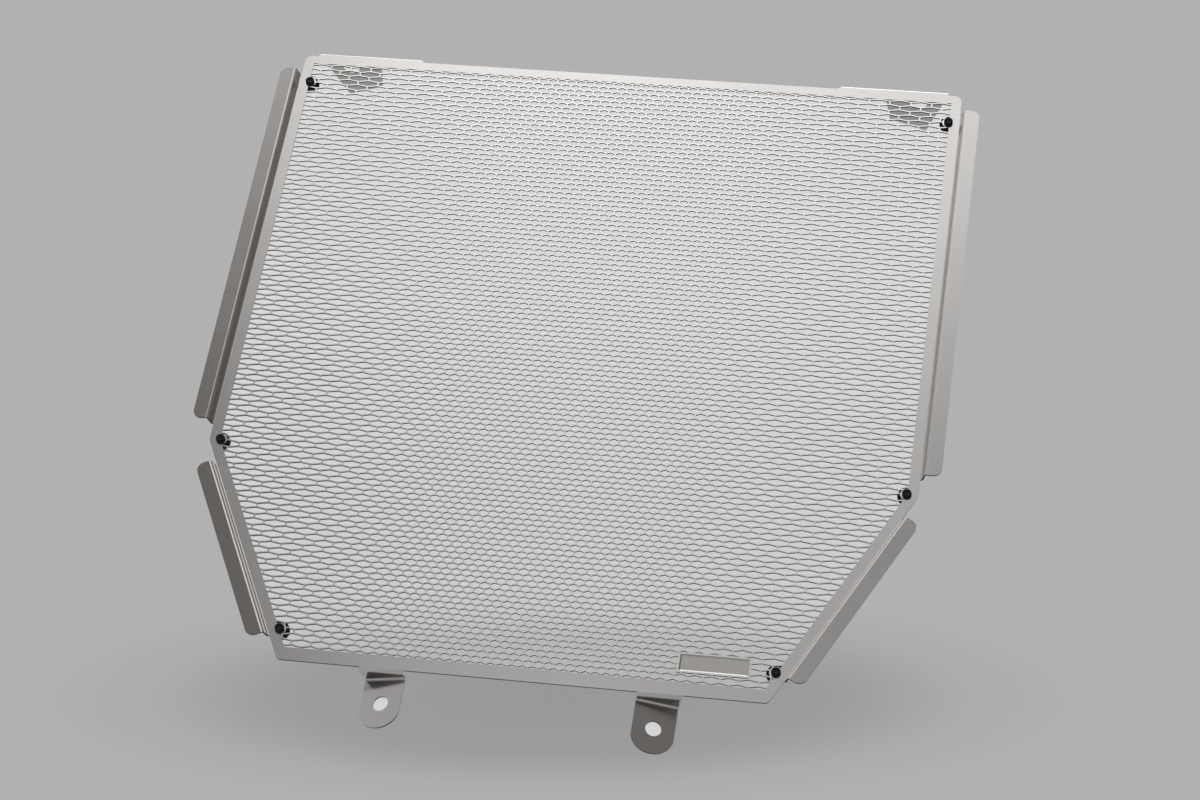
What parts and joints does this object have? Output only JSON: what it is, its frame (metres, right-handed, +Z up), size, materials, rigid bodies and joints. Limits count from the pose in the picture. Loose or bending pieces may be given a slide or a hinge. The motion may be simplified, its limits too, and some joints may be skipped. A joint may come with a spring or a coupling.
{
  "type": "motorcycle radiator guard",
  "caption": "Flat radiator guard folded from one stainless sheet: hexagonal mesh in a plain band, stepped side wings, bolt tabs above and below, rubber bumpers behind.",
  "frame": {"origin": "midway between the two bolt holes of the upper tabs, on the tabs' upper faces", "axes": "+X across the panel, +Y back towards the radiator, +Z up along the panel; the mesh faces -Y"},
  "size_m": [0.3386, 0.0339, 0.3626],
  "materials": {
    "stainless": "hairline brushed across the sheet",
    "rubber": "matt black moulded"
  },
  "bodies": {
    "root": {"guard_sheet": "stainless", "bumper_upper_left": "rubber", "bumper_upper_right": "rubber", "bumper_middle_left": "rubber", "bumper_middle_right": "rubber", "bumper_lower_left": "rubber", "bumper_lower_right": "rubber"}
  },
  "joints": []
}
